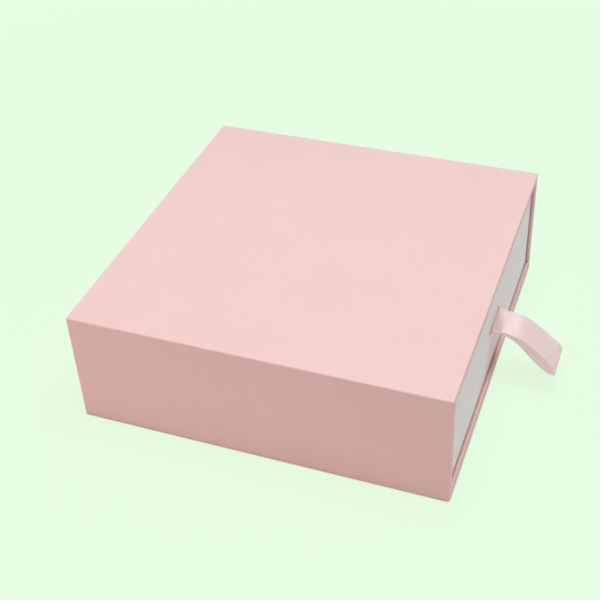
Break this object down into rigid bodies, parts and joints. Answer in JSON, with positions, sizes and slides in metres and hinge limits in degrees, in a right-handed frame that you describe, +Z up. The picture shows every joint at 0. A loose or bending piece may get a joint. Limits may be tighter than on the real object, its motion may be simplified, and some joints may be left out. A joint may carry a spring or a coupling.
{
  "type": "drawer gift box",
  "caption": "Rigid paper-wrapped gift box: a shallow tray drawer that slides out of an open-ended sleeve by a satin ribbon loop.",
  "frame": {"origin": "centre of the sleeve's underside, on the face it rests on", "axes": "+Z up; the mouth and the ribbon face -Y, and the drawer slides out towards -Y; X runs across the mouth"},
  "size_m": [0.18, 0.2112, 0.06],
  "materials": {
    "pink_paper": "matte",
    "white_paper": "matte",
    "lining_paper": "matte",
    "greyboard": "matte",
    "gummed_tape": "satin",
    "satin_ribbon": "satin"
  },
  "bodies": {
    "sleeve": {"sleeve_bottom_board": "greyboard", "sleeve_top_board": "greyboard", "sleeve_left_board": "greyboard", "sleeve_right_board": "greyboard", "sleeve_end_board": "greyboard", "sleeve_tape_bottom_left": "gummed_tape", "sleeve_tape_bottom_right": "gummed_tape", "sleeve_tape_top_left": "gummed_tape", "sleeve_tape_top_right": "gummed_tape", "sleeve_wrap": "pink_paper", "sleeve_base_paper": "pink_paper", "sleeve_end_paper": "pink_paper", "sleeve_lining": "lining_paper"},
    "drawer": {"drawer_base_board": "greyboard", "drawer_front_board": "greyboard", "drawer_rear_board": "greyboard", "drawer_left_board": "greyboard", "drawer_right_board": "greyboard", "drawer_tape_front_left": "gummed_tape", "drawer_tape_front_right": "gummed_tape", "drawer_tape_rear_left": "gummed_tape", "drawer_tape_rear_right": "gummed_tape", "drawer_wrap": "white_paper", "drawer_wall_lining": "lining_paper", "drawer_floor_lining": "lining_paper", "ribbon_tails": "satin_ribbon"},
    "ribbon": {"ribbon_loop": "satin_ribbon"}
  },
  "joints": [
    {"name": "drawer_slide", "type": "slide", "parent": "sleeve", "child": "drawer", "axis": [0, -1, 0], "range_m": [0, 0.18]},
    {"name": "ribbon_swing", "type": "hinge", "parent": "drawer", "child": "ribbon", "pos_m": [0, -0.08865, 0.03097], "axis": [-1, 0, 0], "range_deg": [-20, 45], "stiffness_Nm_per_rad": 0.002, "springref_deg": 1.72}
  ]
}
